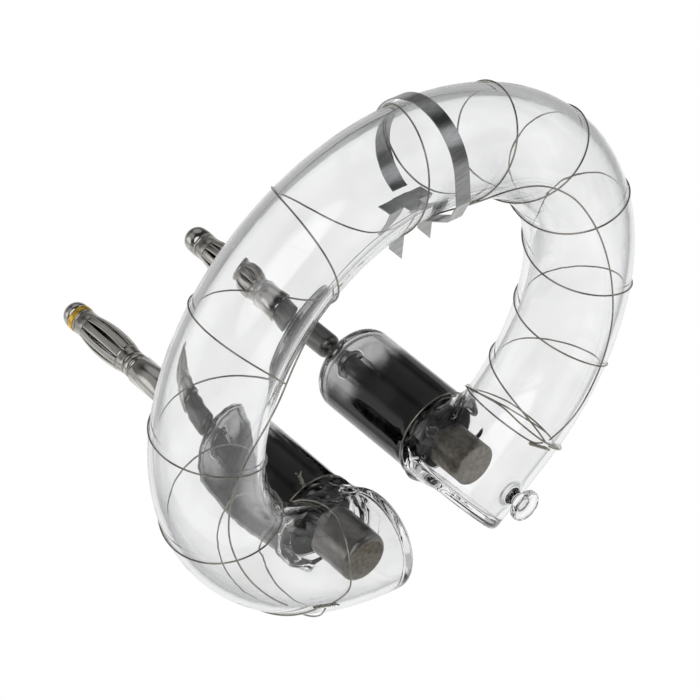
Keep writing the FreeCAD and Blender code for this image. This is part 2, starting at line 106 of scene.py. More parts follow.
# ---- Sizes that a box doesn't give, as in the CAD model --------------------------------------------
TUBE_WALL = 0.9
TUBE_START = -58.2           # degrees from +X towards +Z
TUBE_END = 259.4
RIGHT_STRAIGHT = 11.2
CAP_THICK = 1.1
CAP_ROUND = 1.0
ARM_R = 6.0
ARM_WALL = 1.0
ARM_END_WALL = 1.2
ARM_SHOULDER = 2.4
ARM_START_Y = 3.3
ARM_LIP_Y = 6.3
ARM_TIE_Y = 7.4
TIE_KNOT_TURN = 97           # where the left tie is knotted, round the arm from +X towards +Z
ROD_R = 0.8
CAGE_BOW_Y = (45.3, 54.3)
CAGE_PEAK_Y = 49.9
CAGE_SLOT_Y = (46.2, 54.1)
CAGE_TURN = {"left": 15, "right": 2}
WIRE_R = 0.11

# ---- Camera and light ------------------------------------------------------------------------------
CAMERA_AZIMUTH = -36.66
CAMERA_ELEVATION = 45.77
CAMERA_ROLL = -5.24
CAMERA_DISTANCE = 473.5
CAMERA_LENS = 199.42
CAMERA_AIM = (-5.90, 0.45)   # where the camera looks: right and up of the ring's centre
SENSOR = 36.0

# The floor is a light table some way below the tube.  It is lit in round areas, in metres: centre,
# where the light starts and stops falling off, and tone.  Elsewhere it has the tone of the room's
# lower half, which darkens the edges of the glass.
FLOOR_DROP = 0.085
LIT_AREAS = [
    ((0.068, 0.064), (0.120, 0.152), 1.0),
    ((0.070, -0.145), (0.04, 0.10), 0.80),
    ((-0.150, 0.120), (0.05, 0.11), 0.85),
]
SURROUND = 0.17

# Soft panels in the dark upper half of the room: direction, half-angles of core and edge, tone.
SKY_PANELS = [
    ((-0.50, 0.56, 0.65), 16, 34, (0.36, 0.36, 0.365)),
    ((0.42, 0.56, 0.71), 14, 32, (0.40, 0.40, 0.405)),
    ((-0.82, 0.56, 0.08), 14, 30, (1.0, 1.0, 1.0)),
    ((-0.42, -0.56, 0.72), 24, 30, (1.3, 1.3, 1.32)),
    ((0.75, -0.45, 0.50), 8, 20, (0.75, 0.76, 0.78)),
]


# ---- Small helpers -----------------------------------------------------------------------------------
def to_frame(points):
    return (np.asarray(points, dtype=float) + CENTRE) * MM


def ring_point(angle, radius=None, y=0.0):
    a = math.radians(angle)
    r = RING_RADIUS if radius is None else radius
    return np.array([r * math.cos(a), y, r * math.sin(a)])


def along_ring(angle):
    a = math.radians(angle)
    return np.array([-math.sin(a), 0.0, math.cos(a)])


def on_tube(angle, turn, lift):
    """A point outside the tube: turn 0 is outermost, 90 in front, 180 innermost, 270 behind."""
    t = math.radians(turn)
    rho = TUBE_R + lift
    return ring_point(angle, RING_RADIUS + rho * math.cos(t), -rho * math.sin(t))


def smooth(values, t):
    """A smooth curve through evenly spaced values, at t counted in values."""
    i = max(0, min(int(t), len(values) - 2))
    u = t - i
    p1, p2 = values[i], values[i + 1]
    p0 = values[i - 1] if i > 0 else 2 * p1 - p2
    p3 = values[i + 2] if i + 2 < len(values) else 2 * p2 - p1
    return 0.5 * (
        2 * p1
        + (p2 - p0) * u
        + (2 * p0 - 5 * p1 + 4 * p2 - p3) * u * u
        + (3 * p1 - p0 - 3 * p2 + p3) * u ** 3
    )


def mesh_object(name, points, faces, material, normals=None):
    """A smooth-shaded mesh piece from points in millimetres about the ring's centre."""
    mesh = bpy.data.meshes.new(name)
    mesh.from_pydata(to_frame(points).tolist(), [], faces)
    mesh.polygons.foreach_set("use_smooth", [True] * len(mesh.polygons))
    mesh.materials.append(material)
    mesh.update()
    if normals is not None:
        mesh.normals_split_custom_set_from_vertices(normals.tolist())
    piece = bpy.data.objects.new(name, mesh)
    bpy.context.collection.objects.link(piece)
    return piece


def settle(piece, body, slot, *nodes):
    """The piece rides on a body and stands for CAD nodes, which are hidden; slot is not used."""
    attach(piece, body)
    if nodes:
        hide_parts(*nodes)
    return piece


# ---- Materials ---------------------------------------------------------------------------------------
def new_material(name):
    material = bpy.data.materials.new(name)
    material.use_nodes = True
    nodes, links = material.node_tree.nodes, material.node_tree.links
    return material, nodes, links, nodes["Principled BSDF"]


def noise_of(nodes, links, scale, detail=3.0, stretch=(1, 1, 1)):
    """Noise in the object's own space; scale counts waves in a millimetre."""
    place = nodes.new("ShaderNodeTexCoord")
    mapping = nodes.new("ShaderNodeMapping")
    mapping.inputs["Scale"].default_value = [s / MM for s in stretch]
    noise = nodes.new("ShaderNodeTexNoise")
    noise.inputs["Scale"].default_value = scale
    noise.inputs["Detail"].default_value = detail
    links.new(place.outputs["Object"], mapping.inputs["Vector"])
    links.new(mapping.outputs["Vector"], noise.inputs["Vector"])
    return noise


def ramp_of(nodes, links, source, stops):
    ramp = nodes.new("ShaderNodeValToRGB")
    elements = ramp.color_ramp.elements
    while len(elements) < len(stops):
        elements.new(0.5)
    for element, (position, colour) in zip(elements, stops):
        element.position = position
        element.color = (*colour, 1.0)
    links.new(source, ramp.inputs["Fac"])
    return ramp


def add_bump(nodes, links, shader, noise, height, strength):
    bump = nodes.new("ShaderNodeBump")
    bump.inputs["Distance"].default_value = height * MM
    bump.inputs["Strength"].default_value = strength
    links.new(noise.outputs["Fac"], bump.inputs["Height"])
    links.new(bump.outputs["Normal"], shader.inputs["Normal"])


def metal(name, dark, light, rough, grain, stretch=(1, 1, 1), height=0.004, strength=0.4):
    """A metal whose colour and gloss vary with a grain, stretched along how it was worked."""
    material, nodes, links, shader = new_material(name)
    shader.inputs["Metallic"].default_value = 1.0
    noise = noise_of(nodes, links, grain, 4.0, stretch)
    colour = ramp_of(nodes, links, noise.outputs["Fac"], [(0.3, dark), (0.7, light)])
    links.new(colour.outputs["Color"], shader.inputs["Base Color"])
    gloss = nodes.new("ShaderNodeMapRange")
    gloss.inputs["To Min"].default_value = rough[0]
    gloss.inputs["To Max"].default_value = rough[1]
    links.new(noise.outputs["Fac"], gloss.inputs["Value"])
    links.new(gloss.outputs["Result"], shader.inputs["Roughness"])
    add_bump(nodes, links, shader, noise, height, strength)
    return material


def glass_material():
    """Clear fused glass with painted shade: its colour turns grey where it is seen edge-on, standing in for
    the dark room its edges show; with faint drawing lines.
    """
    material, nodes, links, shader = new_material("clear_glass")
    shader.inputs["Transmission Weight"].default_value = 1.0
    shader.inputs["Roughness"].default_value = 0.0
    shader.inputs["IOR"].default_value = 1.46
    edge = nodes.new("ShaderNodeLayerWeight")
    edge.inputs["Blend"].default_value = 0.5
    # Painted shade: grey painted into the glass colour at grazing angles, for the dark room seen in its
    # edges.
    painted_edge_shade = ramp_of(
        nodes, links, edge.outputs["Facing"],
        [(0.0, (0.990, 0.991, 0.993)), (0.45, (0.980, 0.982, 0.985)), (0.64, (0.88, 0.885, 0.89)),
         (0.80, (0.62, 0.63, 0.64)), (1.0, (0.28, 0.29, 0.30))],
    )
    streaks = noise_of(nodes, links, 0.10, 2.0)
    faint = ramp_of(nodes, links, streaks.outputs["Fac"], [(0.38, (0.94,) * 3), (0.60, (1.0,) * 3)])
    mix = nodes.new("ShaderNodeMix")
    mix.data_type = "RGBA"
    mix.blend_type = "MULTIPLY"
    mix.inputs["Factor"].default_value = 1.0
    links.new(painted_edge_shade.outputs["Color"], mix.inputs["A"])
    links.new(faint.outputs["Color"], mix.inputs["B"])
    links.new(mix.outputs["Result"], shader.inputs["Base Color"])
    ripple = noise_of(nodes, links, 0.35, 1.0)
    add_bump(nodes, links, shader, ripple, 0.05, 0.25)
    return material


def film_material():
    """Black metal film on the inside of an arm: dense, but thin above near the seal."""
    material, nodes, links, shader = new_material("dark_film")
    shader.inputs["Base Color"].default_value = (0.004, 0.004, 0.005, 1.0)
    shader.inputs["Roughness"].default_value = 0.10
    shader.inputs["Specular IOR Level"].default_value = 0.08
    place = nodes.new("ShaderNodeTexCoord")
    apart = nodes.new("ShaderNodeSeparateXYZ")
    links.new(place.outputs["Object"], apart.inputs["Vector"])
    rear = nodes.new("ShaderNodeMapRange")
    rear.interpolation_type = "SMOOTHSTEP"
    rear.inputs["From Min"].default_value = (CENTRE[1] + 12.5) * MM
    rear.inputs["From Max"].default_value = (CENTRE[1] + 21.0) * MM
    links.new(apart.outputs["Y"], rear.inputs["Value"])
    above = nodes.new("ShaderNodeMapRange")
    above.interpolation_type = "SMOOTHSTEP"
    above.inputs["From Min"].default_value = (CENTRE[2] + ARM_Z - 2.5) * MM
    above.inputs["From Max"].default_value = (CENTRE[2] + ARM_Z + 3.0) * MM
    links.new(apart.outputs["Z"], above.inputs["Value"])
    thin = nodes.new("ShaderNodeMath")
    thin.operation = "MULTIPLY"
    links.new(rear.outputs["Result"], thin.inputs[0])
    links.new(above.outputs["Result"], thin.inputs[1])
    end = nodes.new("ShaderNodeMapRange")
    end.interpolation_type = "SMOOTHSTEP"
    end.inputs["From Min"].default_value = (CENTRE[1] + 20.0) * MM
    end.inputs["From Max"].default_value = (CENTRE[1] + 23.5) * MM
    end.inputs["To Max"].default_value = 0.85
    links.new(apart.outputs["Y"], end.inputs["Value"])
    thinnest = nodes.new("ShaderNodeMath")
    thinnest.operation = "MAXIMUM"
    links.new(thin.outputs["Value"], thinnest.inputs[0])
    links.new(end.outputs["Result"], thinnest.inputs[1])
    left = nodes.new("ShaderNodeMath")
    left.operation = "SUBTRACT"
    left.inputs[0].default_value = 1.0
    links.new(thinnest.outputs["Value"], left.inputs[1])
    cloud = noise_of(nodes, links, 0.22, 3.0)
    uneven = nodes.new("ShaderNodeMath")
    uneven.operation = "MULTIPLY_ADD"
    uneven.inputs[1].default_value = 0.5
    links.new(cloud.outputs["Fac"], uneven.inputs[0])
    links.new(left.outputs["Value"], uneven.inputs[2])
    dense = nodes.new("ShaderNodeMapRange")
    dense.interpolation_type = "SMOOTHSTEP"
    dense.inputs["From Min"].default_value = 0.20
    dense.inputs["From Max"].default_value = 0.95
    dense.inputs["To Min"].default_value = 0.12
    dense.inputs["To Max"].default_value = 0.97
    links.new(uneven.outputs["Value"], dense.inputs["Value"])
    links.new(dense.outputs["Result"], shader.inputs["Alpha"])
    return material


GLASS = glass_material()
FILM = film_material()
SINTERED = metal("sintered_tungsten", (0.11, 0.096, 0.074), (0.30, 0.27, 0.21), (0.36, 0.58), 1.8,
                 height=0.02, strength=0.6)
GROUND = metal("ground_tungsten", (0.20, 0.195, 0.18), (0.30, 0.29, 0.27), (0.26, 0.36), 2.0,
               (1, 0.3, 1), height=0.008)
ROD_METAL = metal("drawn_tungsten", (0.14, 0.135, 0.13), (0.25, 0.24, 0.23), (0.25, 0.4), 3.0, (1, 0.2, 1))
NICKEL = metal("turned_nickel", (0.56, 0.545, 0.51), (0.70, 0.685, 0.65), (0.07, 0.13), 2.5, (0.4, 3, 0.4),
               height=0.002)
SPRING = metal("spring_nickel", (0.50, 0.48, 0.44), (0.64, 0.62, 0.58), (0.14, 0.24), 2.5, (3, 0.3, 3),
               height=0.003)
FERRULE = metal("dull_ferrule", (0.15, 0.15, 0.145), (0.27, 0.27, 0.26), (0.30, 0.45), 2.0, (3, 0.12, 3),
                height=0.01)
GOLD = metal("gold_ring", (0.70, 0.44, 0.06), (0.85, 0.58, 0.12), (0.20, 0.32), 3.0)
WIRE = metal("nickel_wire", (0.30, 0.285, 0.24), (0.48, 0.46, 0.40), (0.18, 0.28), 1.5, height=0.003)
STRIP = metal("strip_steel", (0.40, 0.41, 0.40), (0.58, 0.59, 0.58), (0.16, 0.28), 1.6, (0.25, 2.5, 2.5),
              height=0.006)


# ---- Glass envelope: a signed distance in millimetres, and its surface ---------------------------------
def radial_at(angle):
    return ring_point(angle, 1.0)


LEFT_FACE = ring_point(TUBE_END)
LEFT_OUT = along_ring(TUBE_END)
BEND_START = ring_point(TUBE_START)
RIGHT_OUT = -along_ring(TUBE_START)
RIGHT_FACE = BEND_START + RIGHT_OUT * RIGHT_STRAIGHT


def both(a, b, rounding):
    """Distance to what two shapes share, with its edge rounded."""
    inside = np.minimum(np.maximum(a, b), -rounding)
    return inside + np.hypot(np.maximum(a + rounding, 0), np.maximum(b + rounding, 0))


def joined(a, b, blend):
    """Distance to two shapes flowing into each other, with a fillet about as wide as blend."""
    h = np.clip(0.5 + 0.5 * (b - a) / blend, 0, 1)
    return b + (a - b) * h - blend * h * (1 - h)


def tube_distance(p, radius, end_inset, rounding):
    """The bent tube with its two flat ends."""
    x, y, z = p[..., 0], p[..., 1], p[..., 2]
    bend = np.hypot(np.hypot(x, z) - RING_RADIUS, y) - radius

    def end(face, outward, across, straight_from):
        beyond = (p - face) @ outward
        side = np.hypot((p - face) @ across, y) - radius
        body = np.where(beyond > straight_from, side, bend)
        return both(body, beyond + end_inset, rounding)

    left = end(LEFT_FACE, LEFT_OUT, radial_at(TUBE_END), 0.0)
    right = end(RIGHT_FACE, RIGHT_OUT, radial_at(TUBE_START), -RIGHT_STRAIGHT)
    return np.where(z > 0, bend, np.minimum(left, right))


def about_arm(p, side):
    """Distance from an arm's axis, and the angle round it."""
    dx = p[..., 0] - SIDES[side] * ARM_X
    dz = p[..., 2] - ARM_Z
    return np.hypot(dx, dz), np.arctan2(dz, dx * SIDES[side])


def arm_distance(p, side, radius, end_y, rounding, lip):
    r, turn = about_arm(p, side)
    y = p[..., 1]
    swell = lip * np.exp(-(((y - ARM_LIP_Y) / 0.7) ** 2))
    # Flame-worked glass is never quite even where the arm was fused on.
    creases = 0.16 * np.sin(9 * turn + 2.0 * y) * np.exp(-(((y - 6.2) / 1.7) ** 2))
    return both(r - radius - swell - creases * (lip > 0), y - end_y, rounding)


def past_end(p, side):
    """How far a point lies beyond the flat end of the tube on one side."""
    face, outward = (LEFT_FACE, LEFT_OUT) if side == "left" else (RIGHT_FACE, RIGHT_OUT)
    return (p - face) @ outward


def tip_distance(p):
    """Nipple where the pump tube was melted off: a drop with a dished front, on a neck."""
    r, _ = about_arm(p, "right")
    depth = p[..., 1] - TIP_FRONT_Y
    half_thick, dish_r, dish_depth = 0.62, 3.4, 0.5
    drop = both(r - TIP_R, np.abs(depth - half_thick) - half_thick, 0.55)
    dish = dish_r - np.hypot(r, depth + dish_r - dish_depth)
    drop = both(drop, dish, 0.25)
    neck_half = (-TUBE_R + 0.6 - TIP_FRONT_Y - half_thick) / 2
    neck = np.maximum(r - 0.85, np.abs(depth - half_thick - neck_half) - neck_half)
    return joined(drop, neck, 0.9)


def outer_distance(p):
    shape = tube_distance(p, TUBE_R, 0.0, CAP_ROUND)
    shape = joined(shape, tip_distance(p), 1.9)
    for side in SIDES:
        arm = arm_distance(p, side, ARM_R, ARM_END_Y, ARM_SHOULDER, ARM_LIP_R - ARM_R)
        front = ARM_START_Y + 1.1 * np.maximum(past_end(p, side), 0) - p[..., 1]
        shape = joined(shape, both(arm, 0.7 * front, 0.4), 1.3)
    return shape


def cavity_distance(p):
    shape = tube_distance(p, TUBE_R - TUBE_WALL, CAP_THICK, 0.8)
    y = p[..., 1]
    for side in SIDES:
        inner_end = ARM_END_Y - ARM_END_WALL
        arm = arm_distance(p, side, ARM_R - ARM_WALL, inner_end, 1.6, 0.0)
        # In front of the arm's root its bore stays behind the end cap.
        arm = np.maximum(arm, 0.7 * (past_end(p, side) + CAP_THICK - np.maximum(y - 5.0, 0)))
        arm = np.maximum(arm, -y)
        shape = joined(shape, arm, 0.8)
        bead_low, _ = span_y(side + "_seal_bead")
        r, _ = about_arm(p, side)
        rise = np.clip((y - bead_low) / 3.0, 0, 1)
        bead_r = ROD_R + 0.15 + (half_width(side + "_seal_bead") - ROD_R - 0.15) * np.sqrt(rise)
        bead = np.maximum(r - bead_r, bead_low - y)
        shape = -joined(-shape, bead, 0.7)
    return shape


def slope(field, points, step=0.02):
    """Unit gradient of a field at some points, and its length."""
    gradient = np.empty_like(points)
    for axis in range(3):
        offset = np.zeros(3)
        offset[axis] = step
        gradient[:, axis] = (field(points + offset) - field(points - offset)) / (2 * step)
    length = np.linalg.norm(gradient, axis=1, keepdims=True)
    return gradient / np.maximum(length, 1e-6), length[:, 0]


def round_ring(angle, radius, y):
    """Points at an angle in radians, a distance from the ring's axis, and Y."""
    return np.stack([radius * np.cos(angle), y, radius * np.sin(angle)], axis=-1)


def surface_of(field, low, high, steps):
    """Points, quads and normals of the closed surface where a field is zero.

    The grid runs round the ring, so that its rows follow the bent tube: its axes are the angle,
    the distance from the ring's axis, and Y.
    """
    axes = [np.arange(a, b + step, step) for a, b, step in zip(low, high, steps)]
    radius, y = np.meshgrid(axes[1], axes[2], indexing="ij")
    value = np.stack([field(round_ring(angle, radius, y)) for angle in axes[0]])
    inside = value < 0
    count = np.zeros([n - 1 for n in inside.shape], dtype=np.int8)
    for i in (0, 1):
        for j in (0, 1):
            for k in (0, 1):
                corner = inside[i:, j:, k:]
                count += corner[:count.shape[0], :count.shape[1], :count.shape[2]]
    mixed = (count > 0) & (count < 8)
    index = np.full(mixed.shape, -1)
    index[mixed] = np.arange(mixed.sum())
    middle = np.array(low) + (np.argwhere(mixed) + 0.5) * np.array(steps)
    points = round_ring(*middle.T)
    for _ in range(4):
        direction, length = slope(field, points)
        move = field(points) / np.maximum(length, 0.3)
        points -= direction * np.clip(move, -steps[1], steps[1])[:, None]
    normals, _ = slope(field, points)
    quads = []
    for axis in range(3):
        b, c = (axis + 1) % 3, (axis + 2) % 3
        here = np.moveaxis(inside, (axis, b, c), (0, 1, 2))
        cell = np.moveaxis(index, (axis, b, c), (0, 1, 2))
        crossing = here[:-1] != here[1:]
        outward = here[:-1]
        at = np.argwhere(crossing[:, 1:-1, 1:-1])
        i, j, k = at[:, 0], at[:, 1] + 1, at[:, 2] + 1
        around = [cell[i, j - 1, k - 1], cell[i, j, k - 1], cell[i, j, k], cell[i, j - 1, k]]
        quad = np.stack(around, axis=1)
        flip = ~outward[i, j, k]
        quad[flip] = quad[flip][:, ::-1]
        quads.append(quad)
    return points, np.concatenate(quads), normals


def glass_envelope():
    """The whole glass in one piece, as it is fused: outer surface and cavity."""
    step = 0.26
    margin = 3 * step
    # Both ends of the grid lie in the gap of the ring; the straight end reaches farther out.
    low = (math.radians(-88), RING_RADIUS - TUBE_R - margin, TIP_FRONT_Y - margin)
    high = (math.radians(268), RING_RADIUS + TUBE_R + 2.2 + margin, ARM_END_Y + margin)
    steps = (1.3 * step / RING_RADIUS, step, step)
    points, quads, normals = surface_of(outer_distance, low, high, steps)
    inner_points, inner_quads, inner_normals = surface_of(cavity_distance, low, high, steps)
    inner_quads = inner_quads[:, ::-1] + len(points)
    piece = mesh_object(
        "glass_envelope",
        np.concatenate([points, inner_points]),
        np.concatenate([quads, inner_quads]).tolist(),
        GLASS,
        np.concatenate([normals, -inner_normals]),
    )
    return settle(
        piece, "root", "glass", "discharge_tube", "left_end_cap", "right_end_cap", "exhaust_tip",
        "left_seal_tube", "right_seal_tube", "left_seal_bead", "right_seal_bead",
    )


# ---- Turned pieces -------------------------------------------------------------------------------------
def arc(cx, cy, radius, start, end, count=10):
    """Points (radius, y) of a round stretch of an outline; angles in degrees from +radius to +y."""
    angles = np.radians(np.linspace(start, end, count))
    return [(cx + radius * math.cos(a), cy + radius * math.sin(a)) for a in angles]


def lathe(name, side, outline, material, segments=96):
    """Turn an outline of (radius, y) points about an arm's axis; closed on the axis or on itself."""
    points = []
    faces = []
    outline = list(outline)
    rows = []
    for radius, y in outline:
        if radius < 1e-6:
            rows.append([len(points)])
            points.append((SIDES[side] * ARM_X, y, ARM_Z))
            continue
        rows.append(list(range(len(points), len(points) + segments)))
        for k in range(segments):
            a = 2 * math.pi * k / segments
            points.append((SIDES[side] * ARM_X + radius * math.cos(a), y, ARM_Z + radius * math.sin(a)))
    closed = outline[0][0] > 1e-6
    pairs = list(zip(rows, rows[1:]))
    if closed:
        pairs.append((rows[-1], rows[0]))
    for low, high in pairs:
        for k in range(segments):
            n = (k + 1) % segments
            if len(low) == 1:
                faces.append((low[0], high[k], high[n]))
            elif len(high) == 1:
                faces.append((low[k], high[0], low[n]))
            else:
                faces.append((low[k], high[k], high[n], low[n]))
    piece = mesh_object(name, points, faces, material)
    sharpen(piece)
    return piece


def sharpen(piece, angle=32):
    """Keep real edges crisp on a smooth-shaded piece."""
    bpy.context.view_layer.objects.active = piece
    piece.select_set(True)
    bpy.ops.object.shade_auto_smooth(angle=math.radians(angle))
    for modifier in list(piece.modifiers):
        bpy.ops.object.modifier_apply(modifier=modifier.name)
    piece.select_set(False)


def electrode(node, side, material, edge):
    """Tungsten body with a rounded edge and a sintered front."""
    low, high = span_y(node)
    r, c = half_width(node), edge
    outline = [(0, low)] + arc(r - c, low + c, c, -90, 0) + arc(r - c, high - c, c, 0, 90) + [(0, high)]
    piece = lathe(node + "_body", side, outline, material)
    piece.data.materials.append(SINTERED)
    for polygon in piece.data.polygons:
        if polygon.normal.y < -0.99:
            polygon.material_index = 1
    return settle(piece, "root", node + "_tungsten", node)


def ferrule(side):
    node = side + "_ferrule"
    low, high = span_y(node)
    r, dome = half_width(node), 1.1
    outline = [(0, low)] + arc(r - dome, low + dome, dome, -90, 0) + arc(r - 0.1, high - 0.1, 0.1, 0, 90, 4)
    piece = lathe(node + "_body", side, outline + [(0, high)], FERRULE)
    return settle(piece, "root", "dull_steel", node)


def plug_body(side):
    """Sleeve, groove, shoulder and core pin, with their edges broken."""
    node = side + "_plug_body"
    low, high = span_y(node)
    r = half_width(node)
    socket = -CENTRE[1]
    groove, groove_r, shoulder, shoulder_r, core_r, b = 0.5, 1.6, 0.9, 1.85, 1.0, 0.08
    top = socket + groove + shoulder
    outline = [(0, low), (r - b, low), (r, low + b), (r, socket - b), (r - b, socket), (groove_r, socket)]
    outline += [(groove_r, socket + groove), (shoulder_r - b, socket + groove)]
    outline += [(shoulder_r, socket + groove + b), (shoulder_r, top - b), (shoulder_r - b, top)]
    outline += [(core_r, top), (core_r, high), (0, high)]
    return settle(lathe(node + "_turned", side, outline, NICKEL), "root", "nickel", node)


def tip_cap(side):
    node = side + "_tip_cap"
    low, high = span_y(node)
    r, dome, b, groove = half_width(node), 1.62, 0.08, 0.12
    ring_low = span_y("polarity_ring")[0]
    outline = [(0, low), (r - b, low), (r, low + b)]
    if side == "left":
        ring_high = span_y("polarity_ring")[1]
        outline += [(r, ring_low), (r - 0.2, ring_low), (r - 0.2, ring_high), (r, ring_high)]
    else:
        outline += [(r, ring_low), (r - groove, ring_low + groove / 2), (r, ring_low + groove)]
    outline += arc(r - dome, high - dome, dome, 0, 90) + [(0, high)]
    return settle(lathe(node + "_turned", side, outline, NICKEL), "root", "nickel", node)


def colour_ring():
    low, high = span_y("polarity_ring")
    r = half_width("polarity_ring")
    outline = [(r - 0.25, low)] + arc(r - 0.1, low + 0.1, 0.1, -90, 0, 4)
    outline += arc(r - 0.1, high - 0.1, 0.1, 0, 90, 4) + [(r - 0.25, high)]
    return settle(lathe("polarity_band", "left", outline, GOLD), "root", "gold", "polarity_ring")


def dark_film(side):
    """Film of sputtered metal on the arm's inner wall."""
    sunk, thick = 0.10, 0.03
    end = ARM_END_Y - ARM_END_WALL + sunk
    r = ARM_R - ARM_WALL + sunk
    start = 7.0
    outer = [(r, start)] + arc(r - 1.7, end - 1.7, 1.7, 0, 90) + [(2.3, end)]
    inner = [(radius - thick, y - thick) for radius, y in reversed(outer[1:])]
    outline = outer + inner + [(r - thick, start)]
    return settle(lathe(side + "_film", side, outline, FILM), "root", "glass")


def cage_radius(y, collar_r, widest):
    """Outside radius of a cage: collars, and leaves that bow out between them."""
    low, high = CAGE_BOW_Y
    t = (y - low) / (CAGE_PEAK_Y - low) if y < CAGE_PEAK_Y else (high - y) / (high - CAGE_PEAK_Y)
    return collar_r + (widest - collar_r) * (1 - (1 - min(max(t, 0.0), 1.0)) ** 2.1)


def spring_cage(side):
    """Bowed leaves between two collars; the slots open like lenses where the leaves bow out."""
    node = side + "_spring_cage"
    low, high = span_y(node)
    widest = half_width(node)
    bore, collar_r, wall = 1.05, 1.85, 0.22
    slot_low, slot_high = CAGE_SLOT_Y
    leaves, rows, columns = 10, 28, 5
    points, faces = [], []
    for leaf in range(leaves):
        base = len(points)
        for row in range(rows + 1):
            t = row / rows
            y = slot_low + (slot_high - slot_low) * t
            r = cage_radius(y, collar_r, widest)
            slot = 0.12 + 0.40 * math.sin(math.pi * t) ** 0.8
            reach = 2 * math.pi / leaves - slot / r
            for layer in (r, r - wall):
                for column in range(columns + 1):
                    a = 2 * math.pi * (leaf + 0.5) / leaves + (column / columns - 0.5) * reach
                    a += math.radians(90 + CAGE_TURN[side])
                    points.append((
                        SIDES[side] * ARM_X + layer * math.cos(a), y, ARM_Z + layer * math.sin(a),
                    ))
        across = columns + 1

        def at(row, layer, column):
            return base + (row * 2 + layer) * across + column

        for row in range(rows):
            for column in range(columns):
                faces.append((at(row, 0, column), at(row + 1, 0, column),
                              at(row + 1, 0, column + 1), at(row, 0, column + 1)))
                faces.append((at(row, 1, column), at(row, 1, column + 1),
                              at(row + 1, 1, column + 1), at(row + 1, 1, column)))
            faces.append((at(row, 0, 0), at(row, 1, 0), at(row + 1, 1, 0), at(row + 1, 0, 0)))
            faces.append((at(row, 0, columns), at(row + 1, 0, columns),
                          at(row + 1, 1, columns), at(row, 1, columns)))
        for row, flip in ((0, 1), (rows, -1)):
            for column in range(columns):
                end = (at(row, 0, column), at(row, 0, column + 1), at(row, 1, column + 1), at(row, 1, column))
                faces.append(end[::flip])
    piece = mesh_object(side + "_cage_leaves", points, faces, SPRING)
    sharpen(piece)
    settle(piece, side + "_cage", "spring_nickel", node)
    lip = 0.06

    def outer(y):
        return (cage_radius(y, collar_r, widest), y)

    bow_low, bow_high = CAGE_BOW_Y
    rear = [(bore, low), (collar_r - lip, low), (collar_r, low + lip)]
    rear += [outer(y) for y in np.linspace(bow_low, slot_low, 6)]
    rear += [(outer(slot_low)[0] - wall, slot_low), (collar_r - wall, bow_low), (bore, bow_low)]
    front = [(bore, bow_high), (collar_r - wall, bow_high), (outer(slot_high)[0] - wall, slot_high)]
    front += [outer(y) for y in np.linspace(slot_high, bow_high, 3)]
    front += [(collar_r, high - lip), (collar_r - lip, high), (bore, high)]
    for end_name, outline in (("rear", rear), ("front", front)):
        ring = lathe(f"{side}_cage_collar_{end_name}", side, outline, SPRING)
        settle(ring, side + "_cage", "spring_nickel")
    return piece


def rods(side):
    for kind, material, slot in (("lead_rod", ROD_METAL, "tungsten_rod"), ("lead_pin", NICKEL, "nickel")):
        node = f"{side}_{kind}"
        low, high = span_y(node)
        r = half_width(node)
        outline = [(0, low), (r, low), (r, high), (0, high)]
        settle(lathe(node + "_drawn", side, outline, material), "root", slot, node)


# ---- Trigger wire --------------------------------------------------------------------------------------
WIND_START = (-54.0, 101)    # ring angle, and angle round the tube, as in the CAD model
REAR_CROSSINGS = [-39.0, -20.0, 5.0, 29.5, 54.7, 78.5, 108.0, 135.5, 163.0, 188.0, 214.0]
FRONT_CROSSINGS = [-30.8, -10.0, 15.5, 40.4, 64.0, 88.5, 116.0, 142.0, 169.0, 195.5]
WIND_END = (231.0, 423)
STRAND = [
    (-53.0, 100), (-44.0, 86), (-33.0, 84), (-20.0, 89), (-6.0, 98), (8.0, 104), (22.0, 106),
    (36.0, 105), (50.0, 107), (61.0, 118), (70.0, 138), (78.0, 151), (88.0, 154), (103.0, 154),
    (118.0, 151), (132.0, 143), (146.0, 130), (154.0, 112), (162.0, 93), (172.0, 78),
    (184.0, 69), (197.0, 67), (210.0, 66), (220.0, 64),
]
RIGHT_COLLAR = [
    (-54.5, 104), (-55.9, 118), (-56.2, 157), (-55.5, 200), (-54.6, 237), (-54.0, 275),
    (-53.0, 316), (-53.2, 357), (-53.6, 387), (-53.8, 440), (-54.0, 469), (-53.4, 497),
    (-52.4, 524), (-53.6, 556), (-55.0, 597), (-54.8, 640), (-54.0, 690), (-53.5, 740),
    (-54.4, 815),
]
LEFT_COLLAR = [
    (234.0, 70), (237.0, 90), (235.2, 115), (234.5, 142), (235.5, 176), (234.0, 225),
    (232.0, 284), (233.5, 301), (235.2, 330), (236.5, 355), (236.0, 398), (233.0, 425),
]
KNOTS = {"right": ((-56.6, 118), (-55.2, 96)), "left": ((228.8, 67), (235.0, 72))}
WIRE_LIFT = WIRE_R + 0.02
STRAND_LIFT = 0.34
COLLAR_LIFT = (0.16, 0.36)


def run_points(stations, lift_from, lift_to, steps=12):
    """Points of a wire through stations (ring angle, angle round the tube)."""
    angles = [s[0] for s in stations]
    turns = [s[1] for s in stations]
    last = len(stations) - 1
    points = []
    for i in range(last * steps + 1):
        t = i / steps
        lift = lift_from + (lift_to - lift_from) * t / last
        points.append(on_tube(smooth(angles, t), smooth(turns, t), lift))
    return points


def wire_piece(name, runs, slot_nodes, radius=WIRE_R):
    """One piece of round wire made of one or more runs of points."""
    curve = bpy.data.curves.new(name, "CURVE")
    curve.dimensions = "3D"
    curve.bevel_depth = radius * MM
    curve.bevel_resolution = 3
    curve.use_fill_caps = True
    for points in runs:
        spline = curve.splines.new("POLY")
        spline.points.add(len(points) - 1)
        for target, point in zip(spline.points, to_frame(points)):
            target.co = (*point, 1.0)
    curve.materials.append(WIRE)
    piece = bpy.data.objects.new(name, curve)
    bpy.context.collection.objects.link(piece)
    return settle(piece, "root", "wire", *slot_nodes)


